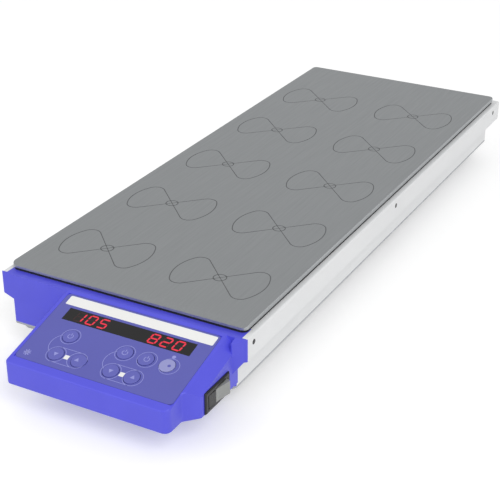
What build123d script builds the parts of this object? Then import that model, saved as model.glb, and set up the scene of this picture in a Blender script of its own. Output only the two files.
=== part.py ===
from build123d import *
from math import cos, radians, sin, sqrt
import os

# Multi-position magnetic stirrer with a heated plate, ten stirring places in two columns of five.
# Frame: millimetres, +Z up, z = 0 on the table, origin at the middle of the footprint.
# The operating console is at the front, towards -Y, and +X is the right side seen from there.

# Driving dimensions of the casing
body_width = 190.0
body_length = 484.0
console_reach = 68.0
foot_height = 12.0
base_pan_depth = 6.5
lower_wall_height = 17.0
step_height = 3.0
collar_height = 16.0
seal_height = 2.0
plate_rim_height = 3.5
wall = 2.0
lower_wall_inset = 8.0
corner_radius = 2.0
cap_side_depth = 1.6
collar_edge_radius = 1.2

# Set-up plate and what lies under it
plate_side_margin = 4.0
plate_front_margin = 6.5
plate_rear_margin = 6.5
plate_corner_radius = 4.0
plate_edge_radius = 0.8
plate_bevel_depth = 5.5
plate_bevel_drop = 1.8
plate_sheet = 1.5
spreader_thickness = 2.0
spreader_clearance = 0.5
heater_thickness = 0.8
insulation_thickness = 5.0
seal_inset = 0.6
seal_width = 7.0
seat_overhang = 0.4
stack_clearance = 0.5
sensor_length = 12.0
sensor_width = 6.0
sensor_height = 2.2
sensor_clearance = 0.5

# Stirring places
columns = 2
rows = 5
place_side_distance = 50.0
first_place_margin = 48.0
last_place_distance = 89.5

# Rotors, their axles and the belt drive
deck_sheet = 2.0
deck_height = 8.0
deck_side_gap = 0.2
deck_front_gap = 4.0
deck_rear_gap = 6.0
deck_flange_height = 12.0
deck_notch_clearance = 2.0
axle_radius = 3.0
axle_head_radius = 5.0
axle_head_height = 1.2
bush_radius = 4.0
bush_flange_radius = 7.0
bush_flange_height = 1.3
running_clearance = 0.05
end_clearance = 0.3
pulley_radius = 16.0
motor_pulley_radius = 18.0
flange_overhang = 1.5
flange_height = 1.2
belt_track_height = 5.0
belt_height = 4.0
belt_thickness = 1.0
belt_clearance = 0.3
hub_radius = 9.0
neck_height = 5.0
arm_length = 52.0
arm_width = 18.0
arm_height = 7.0
magnet_radius = 7.0
magnet_height = 5.5
magnet_offset = 17.5
magnet_clearance = 0.1
clip_radius = 5.5
clip_height = 0.8
clip_well_radius = 6.5
clip_well_depth = 2.5
axle_top_margin = 0.3

# Motor, between the last row of rotors and the rear wall
motor_rear_distance = 48.0
motor_base_radius = 18.5
motor_base_height = 1.2
motor_tube_radius = 5.0
motor_shaft_radius = 2.5
stator_radius = 14.2
stator_slots = 9
stator_slot_width = 2.4
stator_slot_depth = 6.0
stator_tip = 1.0
stator_mouth = 1.2
bell_bore_radius = 14.8
bell_roof = 1.5
stator_gap = 0.8

# Posts that carry the plate, and spacers that carry the deck
post_radius = 3.0
post_hole_clearance = 0.6
spacer_radius = 4.0
post_side_margin = 8.0
post_front_distance = 23.0
post_rear_distance = 21.0

# Console
console_width = 119.5
console_side_margin = 7.0
console_flare_width = 8.5
console_lift = 2.0
console_slope = 14.4
console_chamfer_margin = 1.5
console_chamfer_depth = 20.0
console_wall = 2.5
console_cover_thickness = 2.0
ledge_width = 1.5
ledge_height = 1.5
cover_boss_radius = 3.4
cover_boss_height = 6.0
cover_boss_inset = 6.5
flare_front_offset = 16.0
flare_rear_offset = 25.0
console_corner_radius = 5.0
console_left_radius = 3.0
console_base_radius = 1.5
flare_radius = 3.0
wing_tip_drop = 15.2
wing_root_drop = 23.0
rim_radius = 1.2
cover_clearance = 0.2

# Membrane panel, in distances across and down the slope of the console
panel_left_margin = 3.0
panel_right_margin = 0.5
panel_top = 1.8
panel_bottom_margin = 6.2
panel_corner_radius = 3.0
panel_thickness = 0.6
window_left_margin = 9.5
window_right_margin = 11.0
window_height = 10.8
window_share = 0.631
window_thickness = 2.2
window_clearance = 0.1
key_radius = 5.2
key_clearance = 0.3
key_proud = 0.5
key_travel = 0.4
key_flange_overhang = 1.2
key_flange_height = 0.8
key_stem_radius = 1.6
key_stem_gap = 0.1
key_edge_radius = 0.3
key_row_upper_distance = 27.5
key_row_lower_distance = 11.0
key_first_margin = 25.0
key_last_margin = 19.5
key_left_pitch = 17.5
key_right_pitch = 15.25
board_drop = 6.0
board_thickness = 1.6
board_side_inset = 3.0
board_right_inset = 4.0
board_top_inset = 4.2
board_bottom_inset = 3.0
boss_radius = 2.5
boss_inset = 3.5
module_width = 32.0
module_height = 10.0
module_left_margin = 19.5
module_right_margin = 19.5
tact_size = 6.0
tact_height = 1.6

# Mains switch in the right side of the console
switch_front_gap = 4.0
switch_rear_gap = 12.0
switch_height_above_base = 8.8
switch_depth = 13.0
switch_bezel = 1.4
switch_bezel_overhang = 1.0
switch_frame_wall = 1.6
rocker_clearance = 0.4
rocker_tilt = 8.0
rocker_pivot_depth = 3.5
rocker_pin_radius = 1.4
rocker_rise = 1.5
rocker_dip = 0.9
rocker_thickness = 6.0
rocker_end_thickness = 4.0
rocker_pin_reach = 1.1
switch_body_depth = 16.0
switch_cavity_depth = 9.0

# Mains inlet at the rear, in a recess below the collar
inlet_side_distance = 50.0
inlet_height_above_pan = 12.5
inlet_flange_width = 31.0
inlet_flange_height = 24.0
inlet_flange_thickness = 2.0
inlet_body_width = 27.2
inlet_body_height = 19.6
inlet_body_depth = 20.0
inlet_socket_width = 24.0
inlet_socket_height = 16.4
inlet_socket_depth = 16.0
inlet_socket_chamfer = 3.5
inlet_flange_radius = 2.0
inlet_pin_width = 2.0
inlet_pin_height = 4.0
inlet_pin_length = 14.0
inlet_pin_pitch = 7.0
inlet_pin_offset = 2.0
recess_width = 44.0
recess_height = 27.5

# Power supply
power_board_motor_gap = 14.5
power_board_post_gap = 2.0
power_board_length = 38.0
power_board_lift = 4.0
power_board_thickness = 1.6
power_board_rear_gap = 4.0
transformer_length = 20.0
transformer_height = 18.0
transformer_chamfer = 1.5
power_part_margin = 3.0
terminal_depth = 6.0
terminal_height = 8.0
capacitor_count = 3
capacitor_radius = 3.2
capacitor_height = 14.0

# Feet and screws
foot_radius = 9.0
foot_side_margin = 33.0
foot_front_distance = 23.0
foot_rear_distance = 31.0
foot_taper = 1.5
foot_edge = 1.0
screw_radius = 2.0
screw_clearance = 0.1
screw_head_radius = 3.4
screw_head_height = 1.0
side_screw_radius = 1.2
side_screw_head_radius = 1.8
side_screw_length = 8.0
tie_screw_length = 16.0
cover_screw_length = 7.0
side_screw_drop = 5.5
side_screw_front_distance = 9.5
side_screw_rear_distance = 18.0
tab_width = 10.0
base_sheet = 1.5
base_shoulder = 2.5
base_inset = 5.0

# Lengths for cutting tools: far reaches past every piece, over cuts clear of a face
far = 400.0
over = 1.0
# Shift of a mitred corner for each millimetre that two walls at 45 degrees are set in
mitre = 0.414

# Levels, worked out from the table up
base_bottom = foot_height
wall_bottom = base_bottom + base_pan_depth
step_bottom = wall_bottom + lower_wall_height
step_top = step_bottom + step_height
collar_top = step_top + collar_height
plate_bottom = collar_top + seal_height
plate_top = plate_bottom + plate_rim_height
spreader_bottom = plate_top - plate_sheet - spreader_thickness
heater_bottom = spreader_bottom - heater_thickness
insulation_bottom = heater_bottom - insulation_thickness
deck_bottom = base_bottom + deck_height
deck_top = deck_bottom + deck_sheet
console_bottom = wall_bottom + console_lift

# Places along Y, worked out from the overall length
total_length = body_length + console_reach
rear_y = total_length / 2
cap_front_y = rear_y - body_length
console_front_y = cap_front_y - console_reach
seam_y = cap_front_y + cap_side_depth
lower_rear_y = rear_y - lower_wall_inset
plate_front_y = cap_front_y + plate_front_margin
plate_rear_y = rear_y - plate_rear_margin
collar_half = body_width / 2
lower_half = collar_half - lower_wall_inset
plate_half = collar_half - plate_side_margin
seal_inner_half = plate_half - seal_inset - seal_width
opening_half = seal_inner_half - seat_overhang
opening_front_y = plate_front_y + seal_inset + seal_width - seat_overhang
opening_rear_y = plate_rear_y - seal_inset - seal_width + seat_overhang

tongue_rear_y = opening_front_y
first_place_y = plate_front_y + first_place_margin
place_pitch_x = (body_width - 2 * place_side_distance) / (columns - 1)
place_pitch_y = (rear_y - last_place_distance - first_place_y) / (rows - 1)
place_x = [place_pitch_x * (column - (columns - 1) / 2) for column in range(columns)]
place_y = [first_place_y + place_pitch_y * row for row in range(rows)]
motor_y = rear_y - motor_rear_distance

# Levels of a rotor, worked out from the deck up
rotor_bottom = deck_top + bush_flange_height + end_clearance
track_low_bottom = rotor_bottom + flange_height
track_low_top = track_low_bottom + belt_track_height
track_high_bottom = track_low_top + flange_height
track_high_top = track_high_bottom + belt_track_height
pulley_top = track_high_top + flange_height
arm_bottom = pulley_top + neck_height
arm_top = arm_bottom + arm_height
well_bottom = arm_top - clip_well_depth
bush_top = well_bottom - end_clearance
axle_top = arm_top - axle_top_margin

# The console across: its left side, and its right side before and after the flare
console_right_rear = collar_half - console_side_margin
console_right_front = console_right_rear - console_flare_width
console_left = console_right_front - console_width
console_chamfer_x = console_right_front + console_chamfer_margin
wing_reach = console_side_margin - (2 - sqrt(2)) * corner_radius

# The panel and what lies behind it, across and down the slope
slope_length = console_reach / cos(radians(console_slope))
panel_left = console_left + panel_left_margin
panel_right = console_right_front - panel_right_margin
panel_bottom = slope_length - panel_bottom_margin
window_left = panel_left + window_left_margin
window_right = panel_right - window_right_margin
key_row_upper = panel_bottom - key_row_upper_distance
key_row_lower = panel_bottom - key_row_lower_distance
window_top = panel_top + window_share * (key_row_upper - key_radius - window_height - panel_top)
window_bottom = window_top + window_height
key_column_one = panel_left + key_first_margin
key_column_two = key_column_one + key_left_pitch
key_column_five = panel_right - key_last_margin
key_column_four = key_column_five - key_right_pitch
key_column_three = key_column_four - key_right_pitch
board_left = panel_left + board_side_inset
board_right = panel_right - board_right_inset
board_top = panel_top + board_top_inset
board_bottom = panel_bottom - board_bottom_inset
module_left_centre = window_left + module_left_margin
module_right_centre = window_right - module_right_margin

# Slope of the console: a plane with X across and Y up the slope, Z out of the panel
slope_origin = (0, cap_front_y, collar_top)
slope_normal = (0, -sin(radians(console_slope)), cos(radians(console_slope)))
slope_plane = Plane(origin=slope_origin, x_dir=(1, 0, 0), z_dir=slope_normal)

key_places = [
    (key_column_one, key_row_upper),
    (key_column_one, key_row_lower),
    (key_column_two, key_row_lower),
    (key_column_three, key_row_upper),
    (key_column_three, key_row_lower),
    (key_column_four, key_row_lower),
    (key_column_four, key_row_upper),
    (key_column_five, key_row_upper),
]

post_places = [
    (side * (opening_half - post_side_margin), y)
    for side in (-1, 0, 1)
    for y in (
        cap_front_y + post_front_distance,
        (place_y[2] + place_y[3]) / 2,
        rear_y - post_rear_distance,
    )
]

foot_places = [
    (side * (collar_half - foot_side_margin), y)
    for side in (-1, 1)
    for y in (cap_front_y + foot_front_distance, rear_y - foot_rear_distance)
]

side_screw_y = [
    cap_front_y + side_screw_front_distance,
    (cap_front_y + side_screw_front_distance + rear_y - side_screw_rear_distance) / 2,
    rear_y - side_screw_rear_distance,
]


def block(x0, x1, y0, y1, z0, z1):
    """Box between two corners."""
    return Pos((x0 + x1) / 2, (y0 + y1) / 2, (z0 + z1) / 2) * Box(abs(x1 - x0), abs(y1 - y0), abs(z1 - z0))


def disc(x, y, z0, z1, radius):
    """Upright cylinder."""
    return Pos(x, y, (z0 + z1) / 2) * Cylinder(radius, z1 - z0)


def ring(x, y, z0, z1, outer, inner):
    """Upright tube."""
    return disc(x, y, z0, z1, outer) - disc(x, y, z0 - over, z1 + over, inner)


def rounded_face(half, y0, y1, z, radius):
    """Rounded rectangle, symmetrical about the middle plane."""
    return Pos(0, (y0 + y1) / 2, z) * RectangleRounded(2 * half, y1 - y0, radius)


def rounded_block(half, y0, y1, z0, z1, radius):
    """Upright prism on a rounded rectangle."""
    return extrude(rounded_face(half, y0, y1, z0, radius), z1 - z0)


def on_slope(across, down, out=0.0):
    """Place on the console's slope: across in X, down the slope, out of its face."""
    return slope_plane.location * Pos(across, -down, out)


def slope_block(left, right, top, bottom, low, high):
    """Box that lies square to the console's slope."""
    middle = on_slope((left + right) / 2, (top + bottom) / 2, (low + high) / 2)
    return middle * Box(right - left, bottom - top, high - low)


def stepped_body(inset, z_low, z_high):
    """The casing's form: an upper collar over a lower wall that is set in at sides and rear."""
    y0 = cap_front_y + inset
    upper_half = collar_half - inset
    under_half = lower_half - inset
    collar = rounded_block(upper_half, y0, rear_y - inset, step_top + inset, z_high, corner_radius)
    lower = rounded_block(under_half, y0, lower_rear_y - inset, z_low, step_bottom + inset, corner_radius)
    step = loft([
        rounded_face(under_half, y0, lower_rear_y - inset, step_bottom + inset, corner_radius),
        rounded_face(upper_half, y0, rear_y - inset, step_top + inset, corner_radius),
    ])
    return collar + step + lower


def inlet_recess(grow):
    """Space behind the mains inlet's panel, under the collar's top."""
    return block(
        inlet_x - recess_width / 2 - grow, inlet_x + recess_width / 2 + grow,
        lower_rear_y - grow, rear_y + over,
        wall_bottom - over, wall_bottom + recess_height + grow,
    )


def tongue_space():
    """Space of the front cap's top tongue, between the housing's side collars."""
    return block(
        -plate_half, plate_half, cap_front_y, tongue_rear_y,
        collar_top - wall, collar_top,
    )


def screw(length, radius, head_radius):
    """Screw along +Z with its head's top at zero."""
    head = Pos(0, 0, -screw_head_height / 2) * Cylinder(head_radius, screw_head_height)
    shank = Pos(0, 0, -length / 2) * Cylinder(radius, length)
    return head + shank


def side_screw(side, y, extra):
    """Screw through the collar's side, its head flush with the wall; extra is its hole's clearance."""
    body = screw(side_screw_length, side_screw_radius + extra, side_screw_head_radius + extra)
    return Pos(side * collar_half, y, side_screw_z) * Rot(0, side * 90, 0) * body


def tie_screw(x, y, extra):
    """Screw from below through base, spacer and deck into a post."""
    body = screw(tie_screw_length, screw_radius + extra, screw_head_radius + extra)
    return Pos(x, y, base_bottom - screw_head_height) * Rot(180, 0, 0) * body


def cover_screw(x, y):
    """Screw from below through the console's cover into its boss."""
    body = screw(cover_screw_length, screw_radius, screw_head_radius)
    return Pos(x, y, console_bottom - screw_head_height) * Rot(180, 0, 0) * body


def make_housing():
    outer = stepped_body(0, wall_bottom, collar_top)
    outer = fillet(outer.edges().filter_by(Plane.XY).group_by(Axis.Z)[-1], collar_edge_radius)
    outer -= inlet_recess(0)
    inner = stepped_body(wall, wall_bottom - over, collar_top - wall) - inlet_recess(wall)
    shell = outer - inner
    shell -= Pos(0, -wall, 0) * stepped_body(wall, wall_bottom - over, collar_top - wall)
    shell -= block(-far, far, -far, seam_y, 0, far)
    shell -= block(-opening_half, opening_half, -far, opening_rear_y, collar_top - wall - over, far)
    shell -= tongue_space()
    opening_width = inlet_body_width + 2 * cover_clearance
    opening_height = inlet_body_height + 2 * cover_clearance
    shell -= inlet_block(opening_width, opening_height, lower_rear_y - wall - over, lower_rear_y + over)
    for side in (-1, 1):
        for y in side_screw_y:
            shell -= side_screw(side, y, screw_clearance)
    return shell


def console_plan(inset):
    """The console's outline seen from above, with the flare at its right rear."""
    left = console_left + inset
    right_front = console_right_front - inset
    right_rear = console_right_rear - inset
    front = console_front_y + inset
    corner_shift = inset * mitre
    back = cap_front_y + console_wall / 2
    outline = Polyline(
        (left, back),
        (left, front),
        (right_front, front),
        (right_front, console_front_y + flare_front_offset + corner_shift),
        (right_rear, console_front_y + flare_rear_offset + corner_shift),
        (right_rear, back),
        close=True,
    )
    return make_face(outline)


def console_block(inset, z_low):
    """Console solid under its slope, made smaller on every side by inset."""
    plan = Pos(0, 0, z_low) * console_plan(inset)
    body = extrude(plan, collar_top + wall - z_low)
    body -= slope_block(-far, far, -far, far, -inset, far)
    chamfer_x = console_chamfer_x - inset * mitre
    wedge = Polyline(
        (chamfer_x, inset),
        (chamfer_x + console_chamfer_depth, inset + console_chamfer_depth),
        (chamfer_x + console_chamfer_depth, -over),
        (chamfer_x, -over),
        close=True,
    )
    wedge_plane = Plane(origin=slope_origin, x_dir=(1, 0, 0), z_dir=slope_plane.y_dir)
    return body - extrude(wedge_plane.location * make_face(wedge), far, both=True)


def cover_ledge():
    """Ledge and bosses inside the console that its cover is screwed to."""
    z = console_bottom + console_cover_thickness
    ledge = console_plan(console_wall) - console_plan(console_wall + ledge_width)
    ledge = extrude(Pos(0, 0, z) * ledge, ledge_height)
    for x, y in cover_screw_places:
        ledge += disc(x, y, z, z + cover_boss_height, cover_boss_radius)
    return ledge & block(-far, far, -far, cap_front_y + wall / 2, 0, far)


def switch_block(x0, x1, inset):
    """Block on the mains switch's axis, made smaller all round by inset."""
    return block(
        x0, x1,
        switch_y - switch_length / 2 + inset, switch_y + switch_length / 2 - inset,
        switch_z - switch_depth / 2 + inset, switch_z + switch_depth / 2 - inset,
    )


def near(edge, x, y):
    """True for an edge that stands at about x and y."""
    middle = edge.center()
    return abs(middle.X - x) < over and abs(middle.Y - y) < over


def window_space(low, high):
    """Opening for the display window, with its clearance."""
    return slope_block(
        window_left - window_clearance, window_right + window_clearance,
        window_top - window_clearance, window_bottom + window_clearance, low, high,
    )


def console_outside():
    """Console with its upright corners and its rim rounded."""
    body = console_block(0, console_bottom)
    upright = body.edges().filter_by(Axis.Z)
    body = fillet([edge for edge in upright if near(edge, console_left, console_front_y)], console_left_radius)
    upright = body.edges().filter_by(Axis.Z)
    corner = [edge for edge in upright if near(edge, console_right_front, console_front_y)]
    body = fillet(corner, console_corner_radius)
    flares = [
        edge for edge in body.edges().filter_by(Axis.Z)
        if near(edge, console_right_front, console_front_y + flare_front_offset)
        or near(edge, console_right_rear, console_front_y + flare_rear_offset)
    ]
    body = fillet(flares, flare_radius)
    top_face = body.faces().sort_by(Axis.Z)[-1]
    rim = [edge for edge in top_face.edges() if edge.center().Y < cap_front_y - over]
    body = fillet(rim, rim_radius)
    under_face = body.faces().sort_by(Axis.Z)[0]
    lower_edges = [edge for edge in under_face.edges() if edge.center().Y < cap_front_y - over]
    return fillet(lower_edges, console_base_radius)


def console_wing():
    """Slanted corner between the console's right side and the collar, with an undercut."""
    tip_x = console_right_rear + wing_reach
    plan = Polyline(
        (console_right_rear - over, cap_front_y + over),
        (console_right_rear - over, cap_front_y - wing_reach),
        (console_right_rear, cap_front_y - wing_reach),
        (tip_x, cap_front_y),
        (tip_x, cap_front_y + over),
        close=True,
    )
    section = Polyline(
        (console_right_rear - over, collar_top),
        (console_right_rear - over, collar_top - wing_root_drop),
        (console_right_rear, collar_top - wing_root_drop),
        (tip_x, collar_top - wing_tip_drop),
        (tip_x, collar_top),
        close=True,
    )
    wing = extrude(make_face(plan), far) & extrude(Plane.XZ * make_face(section), far, both=True)
    return wing - slope_block(-far, far, -far, far, 0, far)


def make_front_cap():
    outer = stepped_body(0, wall_bottom, collar_top) & block(-far, far, -far, seam_y, 0, far)
    outer += tongue_space()
    outer += console_outside() + console_wing()
    inner = stepped_body(wall, wall_bottom - over, collar_top - wall)
    hollow = console_block(console_wall, console_bottom - over)
    hollow &= block(-far, far, -far, cap_front_y, 0, far)
    passage = block(
        console_left + console_wall, lower_half - 2 * wall, cap_front_y - wall, seam_y + over,
        console_bottom + console_cover_thickness, collar_top - 3 * wall,
    )
    cap = outer - inner - hollow
    cap -= passage
    cap += cover_ledge()
    cap -= slope_block(panel_left, panel_right, panel_top, panel_bottom, -panel_thickness, over)
    cap -= window_space(-board_drop, over)
    boss_height = board_drop - console_wall
    for across, down in board_bosses:
        cap += on_slope(across, down, -console_wall - boss_height / 2) * Cylinder(boss_radius, boss_height)
    for across, down in key_places:
        cap -= on_slope(across, down) * Cylinder(key_radius + key_clearance, 2 * board_drop)
    cap -= switch_block(console_right_rear - 2 * console_wall, console_right_rear + over, 0)
    for x, y in cover_screw_places:
        cap -= disc(x, y, console_bottom, console_bottom + cover_screw_length, screw_radius)
    return cap


def make_console_cover():
    plan = Pos(0, 0, console_bottom) * console_plan(console_wall + cover_clearance)
    cover = extrude(plan, console_cover_thickness)
    cover &= block(-far, far, -far, cap_front_y - cover_clearance, 0, far)
    for x, y in cover_screw_places:
        cover -= disc(x, y, 0, far, screw_radius + screw_clearance)
    return cover


def base_face(inset, z):
    """Outline of the base pan at a level."""
    return rounded_face(lower_half - inset, cap_front_y + inset, lower_rear_y - inset, z, corner_radius)


def make_base_plate():
    shoulder = wall_bottom - base_sheet
    outer = extrude(base_face(0, shoulder), base_sheet)
    outer += loft([base_face(base_inset, base_bottom), base_face(base_shoulder, shoulder)])
    floor = base_bottom + base_sheet
    outer -= loft([
        base_face(base_inset + base_sheet, floor),
        base_face(base_shoulder + base_sheet, wall_bottom),
    ])
    for x, y in post_places:
        outer -= disc(x, y, 0, wall_bottom, screw_radius + screw_clearance)
    return outer


def bevel_wedge(top):
    """Space over the bevel along the plate's front edge."""
    slant = plate_bevel_drop / plate_bevel_depth
    section = Polyline(
        (plate_front_y + plate_bevel_depth, top),
        (plate_front_y - over, top - plate_bevel_drop - over * slant),
        (plate_front_y - over, top + over),
        (plate_front_y + plate_bevel_depth, top + over),
        close=True,
    )
    return extrude(Plane.YZ * make_face(section), far, both=True)


def make_setup_plate():
    plate = rounded_block(plate_half, plate_front_y, plate_rear_y, plate_bottom, plate_top, plate_corner_radius)
    plate = fillet(plate.faces().sort_by(Axis.Z)[-1].edges(), plate_edge_radius)
    inside = rounded_block(
        plate_half - plate_sheet, plate_front_y + plate_sheet, plate_rear_y - plate_sheet,
        plate_bottom - over, plate_top - plate_sheet, plate_corner_radius - plate_sheet,
    )
    inside -= bevel_wedge(plate_top - plate_sheet)
    return plate - bevel_wedge(plate_top) - inside


def make_plate_seal():
    outer = rounded_block(
        plate_half - seal_inset, plate_front_y + seal_inset, plate_rear_y - seal_inset,
        collar_top, plate_bottom, plate_corner_radius,
    )
    inset = seal_inset + seal_width
    return outer - rounded_block(
        seal_inner_half, plate_front_y + inset, plate_rear_y - inset,
        collar_top - over, plate_bottom + over, plate_corner_radius / 2,
    )


def make_heat_spreader():
    inset = plate_sheet + spreader_clearance
    return rounded_block(
        plate_half - inset, plate_front_y + plate_bevel_depth + spreader_clearance, plate_rear_y - inset,
        spreader_bottom, plate_top - plate_sheet, plate_corner_radius / 2,
    )


def stack_layer(z0, z1):
    """Layer under the heat spreader, with holes for the posts."""
    layer = rounded_block(
        opening_half - stack_clearance, opening_front_y + stack_clearance, opening_rear_y - stack_clearance,
        z0, z1, plate_corner_radius / 2,
    )
    for x, y in post_places:
        layer -= disc(x, y, z0 - over, z1 + over, post_radius + post_hole_clearance)
    return layer - sensor_block(sensor_clearance)


def sensor_block(extra):
    """Temperature sensor under the middle of the plate; extra is its pocket's clearance."""
    return block(
        -sensor_length / 2 - extra, sensor_length / 2 + extra,
        place_y[1] - sensor_width / 2 - extra, place_y[1] + sensor_width / 2 + extra,
        spreader_bottom - sensor_height - extra, spreader_bottom,
    )


def make_chassis_deck():
    half = lower_half - wall - deck_side_gap
    y0 = cap_front_y + deck_front_gap
    y1 = lower_rear_y - deck_rear_gap
    deck = block(-half, half, y0, y1, deck_bottom, deck_top)
    outer_half = collar_half - wall - deck_side_gap
    tab_top = collar_top - wall - end_clearance
    tab_bend = step_top + wall + deck_side_gap
    for side in (-1, 1):
        inside = side * (half - deck_sheet)
        outside = side * half
        tip = side * outer_half
        inner_tip = side * (outer_half - deck_sheet)
        deck += block(inside, outside, y0, y1, deck_bottom, deck_top + deck_flange_height)
        for y in side_screw_y:
            ya = y - tab_width / 2
            yb = y + tab_width / 2
            deck += block(inside, outside, ya, yb, deck_bottom, tab_bend + deck_sheet)
            deck += block(inside, tip, ya, yb, tab_bend, tab_bend + deck_sheet)
            deck += block(inner_tip, tip, ya, yb, tab_bend, tab_top)
            deck -= side_screw(side, y, screw_clearance)
    notch = inlet_body_width / 2 + deck_notch_clearance
    deck -= block(
        inlet_x - notch, inlet_x + notch,
        lower_rear_y - inlet_body_depth - deck_notch_clearance, y1 + over,
        deck_bottom - over, deck_top + over,
    )
    for x, y in power_studs:
        deck += disc(x, y, deck_top, deck_top + power_board_lift, screw_radius)
    for x, y in post_places:
        deck -= disc(x, y, deck_bottom - over, deck_top + over, screw_radius + screw_clearance)
    for x, y in places:
        deck -= disc(x, y, deck_bottom - over, deck_top + over, axle_radius)
    return deck


def make_deck_spacers():
    floor = base_bottom + base_sheet
    return group([
        ring(x, y, floor, deck_bottom, spacer_radius, screw_radius + screw_clearance)
        for x, y in post_places
    ])


def make_plate_posts():
    return group([
        disc(x, y, deck_top, spreader_bottom, post_radius) - tie_screw(x, y, screw_clearance)
        for x, y in post_places
    ])


def make_rotor_axles():
    return group([
        disc(x, y, deck_bottom - axle_head_height, deck_bottom, axle_head_radius)
        + disc(x, y, deck_bottom, axle_top, axle_radius)
        for x, y in places
    ])


def make_axle_bushes():
    return group([
        ring(x, y, deck_top, bush_top, bush_radius, axle_radius)
        + ring(x, y, deck_top, deck_top + bush_flange_height, bush_flange_radius, axle_radius)
        for x, y in places
    ])


def make_axle_clips():
    z = well_bottom + end_clearance
    return group([ring(x, y, z, z + clip_height, clip_radius, axle_radius) for x, y in places])


def track_profile(radius, bore, top):
    """Half section of a two-track belt pulley, from its bore out."""
    flange = radius + flange_overhang
    return [
        (bore, rotor_bottom),
        (flange, rotor_bottom),
        (flange, track_low_bottom),
        (radius, track_low_bottom),
        (radius, track_low_top),
        (flange, track_low_top),
        (flange, track_high_bottom),
        (radius, track_high_bottom),
        (radius, track_high_top),
        (flange, track_high_top),
        (flange, top),
    ]


def turned(points):
    """Solid of revolution about Z from a half section of radius and height."""
    section = make_face(Plane.XZ * Polyline(*points, close=True))
    return revolve(section, Axis.Z)


def make_rotor():
    bore = bush_radius + running_clearance
    points = track_profile(pulley_radius, bore, pulley_top)
    points += [(hub_radius, pulley_top), (hub_radius, arm_bottom + over), (bore, arm_bottom + over)]
    rotor = turned(points)
    arm = Pos(0, 0, arm_bottom) * SlotOverall(arm_length, arm_width)
    rotor += extrude(arm, arm_height)
    rotor -= disc(0, 0, rotor_bottom - over, arm_top + over, bore)
    rotor -= disc(0, 0, well_bottom, arm_top + over, clip_well_radius)
    pocket_radius = magnet_radius + magnet_clearance
    for side in (-1, 1):
        rotor -= disc(side * magnet_offset, 0, arm_top - magnet_height, arm_top + over, pocket_radius)
    return rotor


def make_rotor_magnets():
    return group([
        disc(side * magnet_offset, 0, arm_top - magnet_height, arm_top, magnet_radius)
        for side in (-1, 1)
    ])


def belt_outline(xa, ya, ra, xb, yb, rb):
    """Outline of a belt round two pulleys."""
    circles = [Pos(xa, ya) * Edge.make_circle(ra), Pos(xb, yb) * Edge.make_circle(rb)]
    return make_hull(circles)


def belt(xa, ya, ra, xb, yb, rb, level):
    z = (track_low_bottom, track_high_bottom)[level] + (belt_track_height - belt_height) / 2
    inside = belt_outline(xa, ya, ra + belt_clearance, xb, yb, rb + belt_clearance)
    reach = belt_clearance + belt_thickness
    outside = belt_outline(xa, ya, ra + reach, xb, yb, rb + reach)
    return extrude(Pos(0, 0, z) * (outside - inside), belt_height)


def make_drive_belts():
    belts = []
    for column, x in enumerate(place_x):
        for row in range(rows - 1):
            level = (row + column) % 2
            y0 = place_y[row]
            y1 = place_y[row + 1]
            belts.append(belt(x, y0, pulley_radius, x, y1, pulley_radius, level))
        level = (rows - 1 + column) % 2
        belts.append(belt(x, place_y[-1], pulley_radius, 0, motor_y, motor_pulley_radius, level))
    return group(belts)


def make_motor_base():
    top = deck_top + motor_base_height
    base = disc(0, motor_y, deck_top, top, motor_base_radius)
    base += disc(0, motor_y, top, track_high_top - stator_gap, motor_tube_radius)
    return base - disc(0, motor_y, deck_top - over, far, motor_shaft_radius + running_clearance)


def make_motor_stator():
    z0 = deck_top + motor_base_height + stator_gap
    z1 = track_high_top - 2 * stator_gap
    stator = ring(0, motor_y, z0, z1, stator_radius, motor_tube_radius)
    slot_middle = stator_radius - stator_tip - stator_slot_depth / 2
    for index in range(stator_slots):
        turn = Pos(0, motor_y, (z0 + z1) / 2) * Rot(0, 0, 360 / stator_slots * index)
        stator -= turn * Pos(slot_middle, 0, 0) * Box(stator_slot_depth, stator_slot_width, far)
        stator -= turn * Pos(stator_radius, 0, 0) * Box(2 * stator_slot_depth, stator_mouth, far)
    return stator


def make_motor_bell():
    roof_bottom = track_high_top
    roof_top = roof_bottom + bell_roof
    points = track_profile(motor_pulley_radius, bell_bore_radius, roof_top)
    points += [
        (0, roof_top),
        (0, deck_top + end_clearance),
        (motor_shaft_radius, deck_top + end_clearance),
        (motor_shaft_radius, roof_bottom),
        (bell_bore_radius, roof_bottom),
    ]
    return Pos(0, motor_y, 0) * turned(points)


def make_power_board():
    z = deck_top + power_board_lift
    return block(
        power_board_left, power_board_right,
        power_board_front_y, power_board_front_y + power_board_length,
        z, z + power_board_thickness,
    )


def make_power_parts():
    z = deck_top + power_board_lift + power_board_thickness
    x0 = power_board_left + power_part_margin
    x2 = power_board_right - power_part_margin - capacitor_radius
    x1 = x2 - capacitor_radius - over
    y0 = power_board_front_y + power_part_margin
    y1 = y0 + transformer_length
    transformer = block(x0, x1, y0, y1, z, z + transformer_height)
    transformer = chamfer(transformer.edges().filter_by(Axis.Z), transformer_chamfer)
    y2 = y1 + power_part_margin
    terminals = block(x0, x1, y2, y2 + terminal_depth, z, z + terminal_height)
    pitch = 2 * capacitor_radius + over
    capacitors = [
        disc(x2, y0 + capacitor_radius + step * pitch, z, z + capacitor_height, capacitor_radius)
        for step in range(capacitor_count)
    ]
    return group([transformer, terminals] + capacitors)


def inlet_block(width, height, y0, y1):
    return block(
        inlet_x - width / 2, inlet_x + width / 2, y0, y1,
        inlet_z - height / 2, inlet_z + height / 2,
    )


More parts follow.
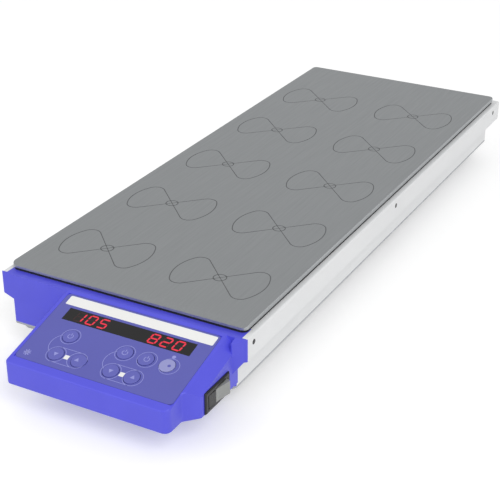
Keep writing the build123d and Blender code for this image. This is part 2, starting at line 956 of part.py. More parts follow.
def make_inlet_socket():
    face_y = lower_rear_y + inlet_flange_thickness
    inlet = inlet_block(inlet_flange_width, inlet_flange_height, lower_rear_y, face_y)
    inlet = fillet(inlet.edges().filter_by(Axis.Y), inlet_flange_radius)
    inlet += inlet_block(inlet_body_width, inlet_body_height, lower_rear_y - inlet_body_depth, lower_rear_y)
    cavity = inlet_block(inlet_socket_width, inlet_socket_height, face_y - inlet_socket_depth, face_y + over)
    upper = [edge for edge in cavity.edges().filter_by(Axis.Y) if edge.center().Z > inlet_z]
    inlet -= chamfer(upper, inlet_socket_chamfer)
    pin_y = face_y - inlet_socket_depth
    for across, up in ((-inlet_pin_pitch, -1), (0, 1), (inlet_pin_pitch, -1)):
        x = inlet_x + across
        z = inlet_z + up * inlet_pin_offset
        pin = block(
            x - inlet_pin_width / 2, x + inlet_pin_width / 2, pin_y - over, pin_y + inlet_pin_length,
            z - inlet_pin_height / 2, z + inlet_pin_height / 2,
        )
        inlet += pin
    return inlet


def make_switch_frame():
    face_x = console_right_rear + switch_bezel
    bezel = switch_block(console_right_rear, face_x, -switch_bezel_overhang)
    bezel = chamfer(bezel.faces().sort_by(Axis.X)[-1].edges(), switch_bezel / 2)
    frame = bezel + switch_block(console_right_rear - switch_body_depth, console_right_rear, cover_clearance)
    frame -= switch_block(console_right_rear - switch_cavity_depth, face_x + over, switch_frame_wall)
    pivot_hole = Cylinder(rocker_pin_radius + running_clearance, switch_depth - switch_frame_wall)
    return frame - Pos(rocker_pivot_x, switch_y, switch_z) * pivot_hole


def make_switch_rocker():
    half = switch_length / 2 - switch_frame_wall - rocker_clearance
    height = switch_depth - 2 * (switch_frame_wall + rocker_clearance)
    top = rocker_pivot_depth + rocker_rise
    outline = Polyline(
        (top, -half),
        (top - rocker_dip, 0),
        (top, half),
        (top - rocker_end_thickness, half),
        (top - rocker_dip - rocker_thickness, 0),
        (top - rocker_end_thickness, -half),
        close=True,
    )
    rocker = extrude(make_face(outline), height / 2, both=True)
    rocker &= Cylinder(half, height)
    rocker += Cylinder(rocker_pin_radius, height + 2 * rocker_pin_reach)
    return Pos(rocker_pivot_x, switch_y, switch_z) * Rot(0, 0, -rocker_tilt) * rocker


def make_display_board():
    low = -board_drop - board_thickness
    return slope_block(board_left, board_right, board_top, board_bottom, low, -board_drop)


def make_digit_modules():
    middle = (window_top + window_bottom) / 2
    return group([
        slope_block(
            centre - module_width / 2, centre + module_width / 2,
            middle - module_height / 2, middle + module_height / 2, -board_drop, -window_thickness,
        )
        for centre in (module_left_centre, module_right_centre)
    ])


def make_key_switches():
    half = tact_size / 2
    return group([
        slope_block(
            across - half, across + half, down - half, down + half,
            -board_drop, -board_drop + tact_height,
        )
        for across, down in key_places
    ])


def make_display_window():
    return slope_block(window_left, window_right, window_top, window_bottom, -window_thickness, 0)


def make_membrane_panel():
    middle = on_slope((panel_left + panel_right) / 2, (panel_top + panel_bottom) / 2, -panel_thickness)
    width = panel_right - panel_left - 2 * cover_clearance
    height = panel_bottom - panel_top - 2 * cover_clearance
    face = RectangleRounded(width, height, panel_corner_radius)
    panel = extrude(middle * face, panel_thickness)
    panel -= window_space(-over, over)
    for across, down in key_places:
        panel -= on_slope(across, down) * Cylinder(key_radius + key_clearance, 2 * board_drop)
    return panel


def make_key(across, down):
    """Key with a stop flange below the panel and a stem above its switch."""
    flange_top = -console_wall
    flange_low = flange_top - key_flange_height
    stem_low = -board_drop + tact_height + key_travel + key_stem_gap
    levels = [
        (stem_low, flange_low, key_stem_radius),
        (flange_low, flange_top, key_radius + key_flange_overhang),
        (flange_top, key_proud, key_radius),
    ]
    points = [(0, key_proud), (0, stem_low)]
    for low, high, radius in levels:
        points += [(radius, low), (radius, high)]
    key = turned(points)
    key = fillet(key.edges().group_by(Axis.Z)[-1], key_edge_radius)
    return on_slope(across, down) * key


def make_feet():
    feet = []
    for x, y in foot_places:
        foot = Pos(x, y, foot_height / 2) * Cone(foot_radius - foot_taper, foot_radius, foot_height)
        feet.append(fillet(foot.edges().group_by(Axis.Z)[0], foot_edge))
    return group(feet)


def make_case_screws():
    screws = [side_screw(side, y, 0) for side in (-1, 1) for y in side_screw_y]
    screws += [tie_screw(x, y, 0) for x, y in post_places]
    screws += [cover_screw(x, y) for x, y in cover_screw_places]
    return group(screws)


def group(solids):
    """Separate solids that share one node."""
    return Compound(children=[part.solid() if hasattr(part, "solid") else part for part in solids])


# Places that several pieces share
inlet_x = inlet_side_distance - collar_half
inlet_z = wall_bottom + inlet_height_above_pan
side_screw_z = collar_top - side_screw_drop
switch_length = console_reach - flare_rear_offset - switch_front_gap - switch_rear_gap
switch_y = cap_front_y - switch_rear_gap - switch_length / 2
switch_z = console_bottom + switch_height_above_base
rocker_pivot_x = console_right_rear + switch_bezel - rocker_pivot_depth
power_board_left = motor_pulley_radius + flange_overhang + power_board_motor_gap
power_board_right = opening_half - post_side_margin - post_radius - power_board_post_gap
power_board_front_y = lower_rear_y - power_board_rear_gap - power_board_length
places = [(x, y) for x in place_x for y in place_y]
power_studs = [
    (stud_x, power_board_front_y + along_y)
    for stud_x in (power_board_left + power_part_margin, power_board_right - power_part_margin)
    for along_y in (power_part_margin, power_board_length - power_part_margin)
]
board_bosses = [
    (across, down)
    for across in (board_left + boss_inset, board_right - boss_inset)
    for down in (board_top + boss_inset, board_bottom - boss_inset)
]
cover_screw_places = [
    (console_left + cover_boss_inset, console_front_y + cover_boss_inset),
    (console_left + cover_boss_inset, cap_front_y - cover_boss_inset),
    (console_right_front - cover_boss_inset, console_front_y + cover_boss_inset),
    (console_right_rear - cover_boss_inset, cap_front_y - cover_boss_inset),
]

nodes = {
    "housing": make_housing(),
    "front_cap": make_front_cap(),
    "console_cover": make_console_cover(),
    "base_plate": make_base_plate(),
    "setup_plate": make_setup_plate(),
    "plate_seal": make_plate_seal(),
    "heat_spreader": make_heat_spreader(),
    "heater_mat": stack_layer(heater_bottom, spreader_bottom),
    "insulation_mat": stack_layer(insulation_bottom, heater_bottom),
    "plate_sensor": sensor_block(0),
    "chassis_deck": make_chassis_deck(),
    "deck_spacers": make_deck_spacers(),
    "plate_posts": make_plate_posts(),
    "rotor_axles": make_rotor_axles(),
    "axle_bushes": make_axle_bushes(),
    "axle_clips": make_axle_clips(),
    "drive_belts": make_drive_belts(),
    "motor_base": make_motor_base(),
    "motor_stator": make_motor_stator(),
    "motor_bell": make_motor_bell(),
    "power_board": make_power_board(),
    "power_parts": make_power_parts(),
    "inlet_socket": make_inlet_socket(),
    "switch_frame": make_switch_frame(),
    "switch_rocker": make_switch_rocker(),
    "display_board": make_display_board(),
    "digit_modules": make_digit_modules(),
    "key_switches": make_key_switches(),
    "display_window": make_display_window(),
    "membrane_panel": make_membrane_panel(),
    "feet": make_feet(),
    "case_screws": make_case_screws(),
}

rotor = make_rotor()
magnets = make_rotor_magnets()
for index, (x, y) in enumerate(places):
    turn = Pos(x, y, 0) * Rot(0, 0, 90 * (index % 2))
    nodes[f"rotor_{index + 1}"] = turn * rotor
    nodes[f"rotor_magnets_{index + 1}"] = turn * magnets

for index, (across, down) in enumerate(key_places):
    nodes[f"key_{index + 1}"] = make_key(across, down)

os.makedirs("parts", exist_ok=True)
for name, solid in nodes.items():
    export_step(solid, f"parts/{name}.step")
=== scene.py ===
import math

import bmesh
import bpy
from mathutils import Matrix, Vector


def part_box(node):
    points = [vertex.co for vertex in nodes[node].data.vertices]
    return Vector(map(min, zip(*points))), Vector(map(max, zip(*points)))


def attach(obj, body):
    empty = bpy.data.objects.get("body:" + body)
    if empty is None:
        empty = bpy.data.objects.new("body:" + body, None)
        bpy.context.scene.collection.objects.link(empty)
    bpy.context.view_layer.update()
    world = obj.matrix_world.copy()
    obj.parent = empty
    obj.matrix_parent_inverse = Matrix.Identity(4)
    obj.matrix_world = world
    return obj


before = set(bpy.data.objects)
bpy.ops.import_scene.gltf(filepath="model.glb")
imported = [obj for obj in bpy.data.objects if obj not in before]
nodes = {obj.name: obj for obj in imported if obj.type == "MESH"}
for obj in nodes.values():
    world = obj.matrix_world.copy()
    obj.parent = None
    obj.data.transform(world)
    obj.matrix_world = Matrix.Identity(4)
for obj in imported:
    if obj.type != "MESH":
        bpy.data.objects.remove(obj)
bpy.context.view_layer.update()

ROOT = "stirrer"
MM = 0.001

# Camera: solved from the plate's corners and the ten marks in the photograph
TARGET = Vector((0.04316, -0.10854, 0.060))
LOOK = Vector((-0.4266, 0.7828, -0.4530)).normalized()
CAMERA_DISTANCE = 0.85427
CAMERA_LENS = 88.99
SENSOR_WIDTH = 36.0
camera_data = bpy.data.cameras.new("photo_camera")
camera_data.lens = CAMERA_LENS
camera_data.sensor_width = SENSOR_WIDTH
camera_data.clip_start = 0.01
camera_data.clip_end = 50.0
camera = bpy.data.objects.new("photo_camera", camera_data)
bpy.context.scene.collection.objects.link(camera)
camera.location = TARGET - LOOK * CAMERA_DISTANCE
camera.rotation_euler = LOOK.to_track_quat("-Z", "Y").to_euler()
bpy.context.scene.camera = camera
bpy.context.scene.view_settings.view_transform = "Standard"


# Materials

def linear(red, green, blue):
    """Linear colour from 0 to 255 screen values."""
    def one(value):
        value /= 255
        return value / 12.92 if value <= 0.04045 else ((value + 0.055) / 1.055) ** 2.4
    return (one(red), one(green), one(blue), 1.0)


def new_material(name, color, roughness, metallic=0.0):
    """Principled material with the values set on its own sockets."""
    material = bpy.data.materials.new(name)
    material.use_nodes = True
    shader = material.node_tree.nodes["Principled BSDF"]
    shader.inputs["Base Color"].default_value = color
    shader.inputs["Roughness"].default_value = roughness
    shader.inputs["Metallic"].default_value = metallic
    return material


def parts_of(material):
    """Nodes, links and shader of a material."""
    tree = material.node_tree
    return tree.nodes, tree.links, tree.nodes["Principled BSDF"]


def noise(material, scale, detail=3.0, stretch=(1.0, 1.0, 1.0)):
    """Noise in the row frame; scale is in cycles per metre."""
    tree_nodes, links, _ = parts_of(material)
    coords = tree_nodes.new("ShaderNodeTexCoord")
    mapping = tree_nodes.new("ShaderNodeMapping")
    mapping.inputs["Scale"].default_value = stretch
    texture = tree_nodes.new("ShaderNodeTexNoise")
    texture.inputs["Scale"].default_value = scale
    texture.inputs["Detail"].default_value = detail
    links.new(coords.outputs["Object"], mapping.inputs["Vector"])
    links.new(mapping.outputs["Vector"], texture.inputs["Vector"])
    return texture.outputs["Fac"]


def ramp(material, factor, stops):
    """Colour ramp over a factor; its two stops are (place, colour)."""
    tree_nodes, links, _ = parts_of(material)
    node = tree_nodes.new("ShaderNodeValToRGB")
    for element, (place, color) in zip(node.color_ramp.elements, stops):
        element.position = place
        element.color = color
    links.new(factor, node.inputs["Fac"])
    return node.outputs["Color"]


def grey(value):
    """Opaque grey of one linear value."""
    return (value, value, value, 1.0)


def bump(material, height, strength, distance):
    """Adds a height to the material's surface, over any bump it already has."""
    tree_nodes, links, shader = parts_of(material)
    node = tree_nodes.new("ShaderNodeBump")
    node.inputs["Strength"].default_value = strength
    node.inputs["Distance"].default_value = distance
    if shader.inputs["Normal"].links:
        links.new(shader.inputs["Normal"].links[0].from_socket, node.inputs["Normal"])
    links.new(height, node.inputs["Height"])
    links.new(node.outputs["Normal"], shader.inputs["Normal"])


def shade(color, factor):
    """A colour made lighter or darker by a factor."""
    return tuple(channel * factor for channel in color[:3]) + (1.0,)


def cloud(material, color, spread, scale, detail=4.0, stretch=(1.0, 1.0, 1.0)):
    """Variation of the base colour about its mean."""
    _, links, shader = parts_of(material)
    factor = noise(material, scale, detail, stretch)
    tone = ramp(material, factor, [(0.3, shade(color, 1 - spread)), (0.7, shade(color, 1 + spread))])
    links.new(tone, shader.inputs["Base Color"])


def gloss(material, low, high, scale, stretch=(1.0, 1.0, 1.0)):
    """Variation of the roughness between two values."""
    _, links, shader = parts_of(material)
    factor = noise(material, scale, 4.0, stretch)
    links.new(ramp(material, factor, [(0.3, grey(low)), (0.7, grey(high))]), shader.inputs["Roughness"])


def plastic(name, color, roughness, grain=2600.0, depth=0.00002, spread=0.03):
    """Moulded plastic with a fine eroded grain."""
    material = new_material(name, color, roughness)
    cloud(material, color, spread, 40.0)
    gloss(material, roughness - 0.05, roughness + 0.07, 90.0)
    bump(material, noise(material, grain, 2.0), 0.35, depth)
    return material


def metal(name, color, roughness, stretch, depth=0.000012, spread=0.05):
    """Metal with fine drawn or ground lines along the axis that is stretched."""
    material = new_material(name, color, roughness, 1.0)
    cloud(material, color, spread, 900.0, 3.0, stretch)
    gloss(material, roughness - 0.06, roughness + 0.08, 700.0, stretch)
    bump(material, noise(material, 1500.0, 3.0, stretch), 0.25, depth)
    return material


white_paint = new_material("white_paint", linear(236, 237, 238), 0.36)
cloud(white_paint, linear(234, 235, 236), 0.02, 14.0)
gloss(white_paint, 0.32, 0.42, 60.0)
bump(white_paint, noise(white_paint, 1100.0, 2.0), 0.22, 0.00003)
bump(white_paint, noise(white_paint, 4200.0, 1.0), 0.10, 0.00001)

blue_plastic = plastic("blue_plastic", linear(86, 86, 224), 0.38)
film = plastic("panel_film", linear(92, 94, 178), 0.42, grain=5200.0, depth=0.000008, spread=0.02)
key_film = plastic("key_film", linear(98, 100, 184), 0.38, grain=5200.0, depth=0.000008, spread=0.02)
pale_key = plastic("pale_key_film", linear(150, 152, 205), 0.40, grain=5200.0, depth=0.000008, spread=0.03)
plate_steel = metal("plate_steel", linear(172, 175, 177), 0.40, (1.0, 0.03, 1.0), spread=0.03)
plain_steel = metal("plain_steel", linear(190, 190, 192), 0.30, (1.0, 1.0, 0.05))
dark_screw = metal("dark_screw", linear(58, 58, 60), 0.38, (0.2, 1.0, 1.0))
alloy = metal("alloy", linear(205, 207, 210), 0.38, (1.0, 1.0, 0.2))
bronze = metal("bronze", linear(184, 142, 84), 0.34, (1.0, 1.0, 0.1))
copper_core = metal("copper_core", linear(176, 104, 66), 0.36, (1.0, 1.0, 0.05))
magnet_metal = metal("magnet_metal", linear(168, 168, 172), 0.22, (1.0, 1.0, 1.0))
sheet_grey = new_material("sheet_grey", linear(176, 178, 182), 0.42, 0.6)
cloud(sheet_grey, linear(172, 174, 178), 0.10, 160.0, 6.0)
gloss(sheet_grey, 0.34, 0.50, 260.0)
bump(sheet_grey, noise(sheet_grey, 900.0, 3.0), 0.15, 0.00002)
rubber = plastic("rubber", linear(24, 24, 25), 0.72, grain=1800.0, depth=0.00003, spread=0.15)
black_plastic = plastic("black_plastic", linear(26, 26, 28), 0.42, spread=0.08)
rotor_plastic = plastic("rotor_plastic", linear(226, 224, 212), 0.48)
heater_foil = plastic("heater_foil", linear(204, 128, 52), 0.34, grain=900.0, depth=0.00004, spread=0.10)
circuit_board = new_material("circuit_board", linear(26, 92, 52), 0.34)
insulation = new_material("insulation", linear(222, 218, 202), 0.92)
cloud(insulation, linear(220, 216, 200), 0.08, 220.0, 6.0)
bump(insulation, noise(insulation, 1400.0, 6.0, (1.0, 0.25, 1.0)), 0.8, 0.0004)
window_gloss = new_material("window_gloss", linear(14, 13, 15), 0.09)
cloud(window_gloss, linear(15, 13, 15), 0.25, 30.0)
gloss(window_gloss, 0.07, 0.13, 120.0)


def traces(material):
    """Copper tracks under a circuit board's green coat."""
    tree_nodes, links, shader = parts_of(material)
    coords = tree_nodes.new("ShaderNodeTexCoord")
    brick = tree_nodes.new("ShaderNodeTexBrick")
    brick.inputs["Scale"].default_value = 90.0
    brick.inputs["Mortar Size"].default_value = 0.03
    brick.inputs["Color1"].default_value = linear(24, 88, 50)
    brick.inputs["Color2"].default_value = linear(30, 98, 56)
    brick.inputs["Mortar"].default_value = linear(64, 142, 74)
    links.new(coords.outputs["Object"], brick.inputs["Vector"])
    links.new(brick.outputs["Color"], shader.inputs["Base Color"])
    bump(material, brick.outputs["Fac"], 0.4, 0.00003)


traces(circuit_board)


def step_mask(material, axis, edge, blur):
    """1 above an edge along one row axis, 0 below it, in metres."""
    tree_nodes, links, _ = parts_of(material)
    coords = tree_nodes.new("ShaderNodeTexCoord")
    split = tree_nodes.new("ShaderNodeSeparateXYZ")
    rise = tree_nodes.new("ShaderNodeMapRange")
    rise.inputs["From Min"].default_value = edge - blur
    rise.inputs["From Max"].default_value = edge + blur
    links.new(coords.outputs["Object"], split.inputs["Vector"])
    links.new(split.outputs[axis], rise.inputs["Value"])
    return rise.outputs["Result"]


# Painted light on the rocker: its raised rear is painted a lit grey as a highlight, and its sunk front is
# painted black as shade
# Share of the rocker's length, from its front, that is painted black as shade
ROCKER_SHADE_SHARE = 0.36
ROCKER_PAINTED_SHADE = linear(22, 22, 24)
ROCKER_LIT_GREY = linear(146, 148, 146)
rocker_low, rocker_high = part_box("switch_rocker")
rocker_plastic = plastic("rocker_plastic", ROCKER_LIT_GREY, 0.30)
rocker_shade_edge = rocker_low.y + (rocker_high.y - rocker_low.y) * ROCKER_SHADE_SHARE
_, rocker_links, rocker_shader = parts_of(rocker_plastic)
# The ramp paints painted shade (black) on the front share and a painted lit grey on the rear, a lit and a
# shaded copy of one plastic
rocker_light_and_shade = ramp(
    rocker_plastic, step_mask(rocker_plastic, "Y", rocker_shade_edge, blur=0.0002),
    [(0.0, ROCKER_PAINTED_SHADE), (1.0, ROCKER_LIT_GREY)],
)
rocker_links.new(rocker_light_and_shade, rocker_shader.inputs["Base Color"])

# The last key is paler than the others
PALE_KEY = 8

finishes = {
    "housing": white_paint, "front_cap": blue_plastic, "console_cover": blue_plastic,
    "base_plate": sheet_grey, "setup_plate": plate_steel, "plate_seal": rubber,
    "heat_spreader": alloy, "heater_mat": heater_foil, "insulation_mat": insulation,
    "plate_sensor": plain_steel, "chassis_deck": sheet_grey, "deck_spacers": plain_steel,
    "plate_posts": plain_steel, "rotor_axles": plain_steel, "axle_bushes": bronze,
    "axle_clips": plain_steel, "drive_belts": rubber, "motor_base": alloy,
    "motor_stator": copper_core, "motor_bell": plain_steel, "power_board": circuit_board,
    "power_parts": black_plastic, "inlet_socket": black_plastic, "switch_frame": black_plastic,
    "switch_rocker": rocker_plastic, "display_board": circuit_board, "digit_modules": black_plastic,
    "key_switches": black_plastic, "display_window": window_gloss, "membrane_panel": film,
    "feet": rubber, "case_screws": dark_screw,
}
for index in range(1, 11):
    finishes[f"rotor_{index}"] = rotor_plastic
    finishes[f"rotor_magnets_{index}"] = magnet_metal
for index in range(1, 9):
    finishes[f"key_{index}"] = pale_key if index == PALE_KEY else key_film
for name, material in finishes.items():
    node = nodes[name]
    node.data.materials.clear()
    node.data.materials.append(material)


# Printed shapes: thin closed solids on a plane, gathered into one mesh

# Millimetres that a print is sunk into its surface
SINK = 0.05


class Print:
    """Shapes in millimetres across and up a plane, from low to high over it."""

    def __init__(self, place, low, high):
        self.place = place
        self.low = low
        self.high = high
        self.vertices = []
        self.faces = []

    def _corner(self, point):
        """Adds a point at both heights and gives the index of the lower one."""
        self.vertices.append(self.place(point[0], point[1], self.low))
        self.vertices.append(self.place(point[0], point[1], self.high))
        return len(self.vertices) - 2

    def area(self, outline):
        """Filled outline."""
        base = [self._corner(point) for point in outline]
        self.faces.append(tuple(base))
        self.faces.append(tuple(index + 1 for index in base))
        for start, end in zip(base, base[1:] + base[:1]):
            self.faces.append((start, end, end + 1, start + 1))

    def line(self, points, width, closed=False):
        """Band of a width along points."""
        count = len(points)
        sides = []
        for index, point in enumerate(points):
            before = points[index - 1] if index or closed else point
            after = points[(index + 1) % count] if index < count - 1 or closed else point
            along = Vector((after[0] - before[0], after[1] - before[1])).normalized()
            across = Vector((-along.y, along.x)) * width / 2
            sides.append((
                self._corner((point[0] + across.x, point[1] + across.y)),
                self._corner((point[0] - across.x, point[1] - across.y)),
            ))
        pairs = list(zip(sides, sides[1:]))
        if closed:
            pairs.append((sides[-1], sides[0]))
        for (left_a, right_a), (left_b, right_b) in pairs:
            self.faces.append((left_a, left_b, right_b, right_a))
            self.faces.append((left_a + 1, right_a + 1, right_b + 1, left_b + 1))
            self.faces.append((left_a, left_a + 1, left_b + 1, left_b))
            self.faces.append((right_a, right_b, right_b + 1, right_a + 1))
        if not closed:
            for left, right in (sides[0], sides[-1]):
                self.faces.append((left, right, right + 1, left + 1))

    def ring(self, x, y, radius, width, steps=48):
        """Band round a circle."""
        self.line(arc(x, y, radius, 0, 360 - 360 / steps, steps), width, closed=True)

    def disc(self, x, y, radius, steps=32):
        """Filled circle."""
        self.area(arc(x, y, radius, 0, 360 - 360 / steps, steps))

    def piece(self, name, material, body, slot):
        """Makes the mesh a piece that rides on a body."""
        mesh = bpy.data.meshes.new(name)
        mesh.from_pydata(self.vertices, [], self.faces)
        work = bmesh.new()
        work.from_mesh(mesh)
        bmesh.ops.recalc_face_normals(work, faces=work.faces)
        work.to_mesh(mesh)
        work.free()
        mesh.materials.append(material)
        piece = bpy.data.objects.new(name, mesh)
        bpy.context.scene.collection.objects.link(piece)
        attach(piece, body)


def arc(x, y, radius, start, end, steps):
    """Points on a circle between two angles in degrees."""
    return [
        (
            x + radius * math.cos(math.radians(start + (end - start) * step / (steps - 1))),
            y + radius * math.sin(math.radians(start + (end - start) * step / (steps - 1))),
        )
        for step in range(steps)
    ]


def box_outline(left, right, low, high, radius):
    """Rectangle with rounded corners."""
    points = []
    for x, y, start in (
        (right - radius, low + radius, -90), (right - radius, high - radius, 0),
        (left + radius, high - radius, 90), (left + radius, low + radius, 180),
    ):
        points += arc(x, y, radius, start, start + 90, steps=6)
    return points


# Stirring marks on the plate: a bow of two loops about each rotor's axis

plate_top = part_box("setup_plate")[1].z
MARK_RADIUS = 33.5
MARK_CORNER = 7.0
MARK_LINE = 0.8
MARK_RING = 4.5


def bow_loop(side):
    """One loop of the bow, from the middle out along its diagonals and round its outer arc."""
    reach = MARK_RADIUS - MARK_CORNER
    turn = math.degrees(math.asin(MARK_CORNER / reach))
    points = []
    for sign in (1, -1):
        middle = math.radians(sign * (45 - turn))
        corner = arc(
            reach * math.cos(middle), reach * math.sin(middle), MARK_CORNER,
            sign * 135, sign * (45 - turn), steps=8,
        )
        points.append(corner if sign == 1 else corner[::-1])
    outer = arc(0, 0, MARK_RADIUS, 45 - turn, turn - 45, steps=24)
    loop = [(0.0, 0.0)] + points[0] + outer[1:-1] + points[1]
    return [(side * x, y) for x, y in loop]


def on_plate(x, y, height):
    """Point over the plate's top."""
    return (x * MM, y * MM, plate_top + height * MM)


marks = Print(on_plate, -SINK, 0.02)
for index in range(1, 11):
    low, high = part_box(f"rotor_{index}")
    middle_x = (low.x + high.x) / 2 / MM
    middle_y = (low.y + high.y) / 2 / MM
    for side in (1, -1):
        marks.line([(middle_x + x, middle_y + y) for x, y in bow_loop(side)], MARK_LINE, closed=True)
    marks.ring(middle_x, middle_y, MARK_RING, MARK_LINE)
mark_ink = plastic("mark_ink", linear(96, 98, 100), 0.55)
marks.piece("stirring_marks", mark_ink, ROOT, "black_plastic")


# Console: x across, down its slope, out of its face

SLOPE = math.radians(14.4)
SLOPE_TOP = Vector((0.0, -0.208, 0.0545))
DOWN = Vector((0.0, -math.cos(SLOPE), -math.sin(SLOPE)))
OUT = Vector((0.0, -math.sin(SLOPE), math.cos(SLOPE)))


def on_console(across, up, height):
    """Point of the slope; up is minus the distance down it."""
    return tuple(SLOPE_TOP + Vector((across, 0, 0)) * MM - DOWN * up * MM + OUT * height * MM)


# Printed key places, across and down the slope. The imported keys 3, 6, 7 and 8 lie 0.75 to 1.5 mm away
UPPER_ROW = 36.5
LOWER_ROW = 53.0
KEY_PITCH = 16.0
LEFT_BANK = -12.0
RIGHT_BANK = 29.0
KEYS = [
    (LEFT_BANK, UPPER_ROW), (LEFT_BANK, LOWER_ROW), (LEFT_BANK + KEY_PITCH, LOWER_ROW),
    (RIGHT_BANK, UPPER_ROW), (RIGHT_BANK, LOWER_ROW), (RIGHT_BANK + KEY_PITCH, LOWER_ROW),
    (RIGHT_BANK + KEY_PITCH, UPPER_ROW), (RIGHT_BANK + 2 * KEY_PITCH, UPPER_ROW),
]
pale_ink = plastic("pale_ink", linear(150, 152, 218), 0.45)
white_ink = plastic("white_ink", linear(242, 242, 240), 0.42, spread=0.01)
lit_red = new_material("lit_red", linear(222, 40, 66), 0.35)
_, _, lit_shader = parts_of(lit_red)
lit_shader.inputs["Emission Color"].default_value = linear(226, 36, 62)
lit_shader.inputs["Emission Strength"].default_value = 0.35
cloud(lit_red, linear(214, 40, 64), 0.08, 400.0)
unlit_red = new_material("unlit_red", linear(44, 18, 20), 0.30)
cloud(unlit_red, linear(44, 18, 20), 0.12, 400.0)

STRIP_LEFT = -33.5
STRIP_RIGHT = 77.2
STRIP_LOW = -11.4
STRIP_HIGH = -3.4
STRIP_CORNER = 1.0
strip = Print(on_console, -SINK, 0.03)
strip.area(box_outline(STRIP_LEFT, STRIP_RIGHT, STRIP_LOW, STRIP_HIGH, STRIP_CORNER))
strip.piece("label_strip", white_ink, ROOT, "white_paint")

# Rings round the keys, lines and an arc that join each bank's keys, a star and a dot
RING = 6.5
INK = 0.35
LINK_RADIUS = 9.6
STAR_X = -30.5
STAR_UP = -58.2
STAR_RADIUS = 2.6
STAR_LINE = 0.7
DOT = (59.7, -28.5)
DOT_RADIUS = 1.3
lines = Print(on_console, -SINK, 0.03)
for across, down in KEYS:
    lines.ring(across, -down, RING, INK)
for left in (LEFT_BANK, RIGHT_BANK):
    for edge in (-LOWER_ROW + RING, -LOWER_ROW - RING):
        lines.line([(left, edge), (left + KEY_PITCH, edge)], INK)
    lines.line(arc(left, -(UPPER_ROW + LOWER_ROW) / 2, LINK_RADIUS, 125, 235, steps=20), INK)
for turn in range(0, 180, 45):
    ray = Vector((math.cos(math.radians(turn)), math.sin(math.radians(turn)))) * STAR_RADIUS
    lines.line([(STAR_X - ray.x, STAR_UP - ray.y), (STAR_X + ray.x, STAR_UP + ray.y)], STAR_LINE)
lines.disc(*DOT, DOT_RADIUS)
lines.piece("panel_lines", pale_ink, ROOT, "white_paint")

# A lamp between the two lower keys of each bank
LAMP_HALF = 1.7
LAMP_CORNER = 0.3
lamps = Print(on_console, -SINK, 0.04)
for left in (LEFT_BANK, RIGHT_BANK):
    middle = left + KEY_PITCH / 2
    lamps.area(box_outline(
        middle - LAMP_HALF, middle + LAMP_HALF, -LOWER_ROW - LAMP_HALF, -LOWER_ROW + LAMP_HALF, LAMP_CORNER,
    ))
lamps.piece("panel_lamps", white_ink, ROOT, "white_paint")

# Symbols on the keys: triangles up and down, a dot on the pale key and a power sign on the rest
KEY_TOP = 0.5
UP_KEYS = (3, 6)
DOWN_KEYS = (2, 5)
TRIANGLE_RADIUS = 1.9
KEY_DOT_RADIUS = 1.1
POWER_RADIUS = 1.8
POWER_LINE = 0.5
POWER_BAR_LOW = 0.6
POWER_BAR_HIGH = 2.6


def polygon(x, y, radius, corners, start):
    """Corners of a regular polygon, the first one at an angle in degrees."""
    return arc(x, y, radius, start, start + 360 - 360 / corners, corners)


for index, (across, down) in enumerate(KEYS, start=1):
    symbol = Print(on_console, KEY_TOP - SINK, KEY_TOP + 0.01)
    if index in UP_KEYS:
        symbol.area(polygon(across, -down, TRIANGLE_RADIUS, 3, 90))
    elif index in DOWN_KEYS:
        symbol.area(polygon(across, -down, TRIANGLE_RADIUS, 3, -90))
    elif index == PALE_KEY:
        symbol.disc(across, -down, KEY_DOT_RADIUS)
    else:
        symbol.line(arc(across, -down, POWER_RADIUS, 130, 410, steps=24), POWER_LINE)
        symbol.line([(across, -down + POWER_BAR_LOW), (across, -down + POWER_BAR_HIGH)], POWER_LINE)
    material = film if index == PALE_KEY else pale_ink
    symbol.piece(f"key_symbol_{index}", material, f"panel_key_{index}", "white_paint")

# Seven-segment digits on the display window's face
SEGMENTS = {"0": "abcdef", "1": "bc", "2": "abged", "5": "afgcd", "8": "abcdefg"}
DIGIT_WIDTH = 5.4
DIGIT_HEIGHT = 7.6
DIGIT_PITCH = 9.0
DIGITS_UP = -19.0
LEFT_NUMBER = -16.5
RIGHT_NUMBER = 39.5
BAR = 1.1
BAR_GAP = 0.15
SLANT = 0.12


def segment_outline(letter, x, y):
    """Outline of one bar of a digit whose middle is at x and y."""
    half_w = DIGIT_WIDTH / 2
    half_h = DIGIT_HEIGHT / 2
    ends = {
        "a": ((-half_w, half_h), (half_w, half_h)), "g": ((-half_w, 0), (half_w, 0)),
        "d": ((-half_w, -half_h), (half_w, -half_h)), "f": ((-half_w, 0), (-half_w, half_h)),
        "b": ((half_w, 0), (half_w, half_h)), "e": ((-half_w, -half_h), (-half_w, 0)),
        "c": ((half_w, -half_h), (half_w, 0)),
    }
    start, end = (Vector(point) for point in ends[letter])
    along = (end - start).normalized()
    across = Vector((-along.y, along.x)) * BAR / 2
    start += along * BAR_GAP
    end -= along * BAR_GAP
    shoulder = along * BAR / 2
    outline = [
        start, start + shoulder + across, end - shoulder + across,
        end, end - shoulder - across, start + shoulder - across,
    ]
    return [(x + point.x + point.y * SLANT, y + point.y) for point in outline]


lit = Print(on_console, -SINK, 0.03)
unlit = Print(on_console, -SINK, 0.02)
for text, first in (("105", LEFT_NUMBER), ("820", RIGHT_NUMBER)):
    for place, digit in enumerate(text):
        for letter in "abcdefg":
            target = lit if letter in SEGMENTS[digit] else unlit
            target.area(segment_outline(letter, first + place * DIGIT_PITCH, DIGITS_UP))
lit.piece("digits_lit", lit_red, ROOT, "digit_red")
unlit.piece("digits_unlit", unlit_red, ROOT, "digit_red")


# Floor and light

FLOOR_SIZE = 30.0
FLOOR_GREY = 0.82
FLOOR_GLOW = 0.35
SKY_STRENGTH = 0.62
LAMP_AIM = Vector((0, 0, 0.04))


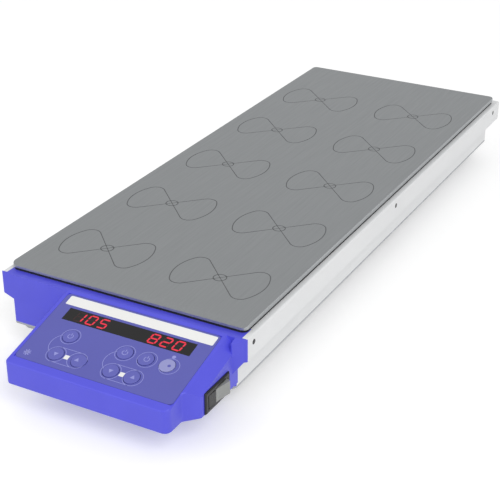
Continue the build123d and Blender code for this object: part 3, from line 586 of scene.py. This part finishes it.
def stage_plane(name, size):
    """Square plane at the ground."""
    half = size / 2
    corners = [(-half, -half, 0), (half, -half, 0), (half, half, 0), (-half, half, 0)]
    mesh = bpy.data.meshes.new(name)
    mesh.from_pydata(corners, [], [(0, 1, 2, 3)])
    plane = bpy.data.objects.new(name, mesh)
    bpy.context.scene.collection.objects.link(plane)
    return plane


def floor_finish():
    """White floor that glows a little where the camera or a reflection sees it."""
    material = bpy.data.materials.new("floor_white")
    material.use_nodes = True
    tree_nodes = material.node_tree.nodes
    links = material.node_tree.links
    tree_nodes.clear()
    diffuse = tree_nodes.new("ShaderNodeBsdfDiffuse")
    diffuse.inputs["Color"].default_value = grey(FLOOR_GREY)
    glow = tree_nodes.new("ShaderNodeEmission")
    glow.inputs["Color"].default_value = grey(1.0)
    path = tree_nodes.new("ShaderNodeLightPath")
    seen = tree_nodes.new("ShaderNodeMath")
    seen.operation = "MAXIMUM"
    links.new(path.outputs["Is Camera Ray"], seen.inputs[0])
    links.new(path.outputs["Is Glossy Ray"], seen.inputs[1])
    level = tree_nodes.new("ShaderNodeMath")
    level.operation = "MULTIPLY"
    level.inputs[1].default_value = FLOOR_GLOW
    links.new(seen.outputs[0], level.inputs[0])
    links.new(level.outputs[0], glow.inputs["Strength"])
    both = tree_nodes.new("ShaderNodeAddShader")
    links.new(diffuse.outputs[0], both.inputs[0])
    links.new(glow.outputs[0], both.inputs[1])
    output = tree_nodes.new("ShaderNodeOutputMaterial")
    links.new(both.outputs[0], output.inputs["Surface"])
    return material


floor = stage_plane("floor", FLOOR_SIZE)
floor.data.materials.append(floor_finish())

world = bpy.data.worlds.new("studio")
bpy.context.scene.world = world
world.use_nodes = True
sky = world.node_tree.nodes["Background"]
sky.inputs["Color"].default_value = grey(1.0)
sky.inputs["Strength"].default_value = SKY_STRENGTH


def area_light(name, location, size, power):
    """Soft square lamp aimed at the middle of the object."""
    data = bpy.data.lights.new(name, "AREA")
    data.size = size
    data.energy = power
    light = bpy.data.objects.new(name, data)
    light.location = location
    light.rotation_euler = (LAMP_AIM - light.location).to_track_quat("-Z", "Y").to_euler()
    bpy.context.scene.collection.objects.link(light)


area_light("key_lamp", Vector((1.6, -1.3, 1.9)), size=1.4, power=26.0)
area_light("fill_lamp", Vector((-1.4, -1.8, 1.5)), size=1.6, power=12.0)
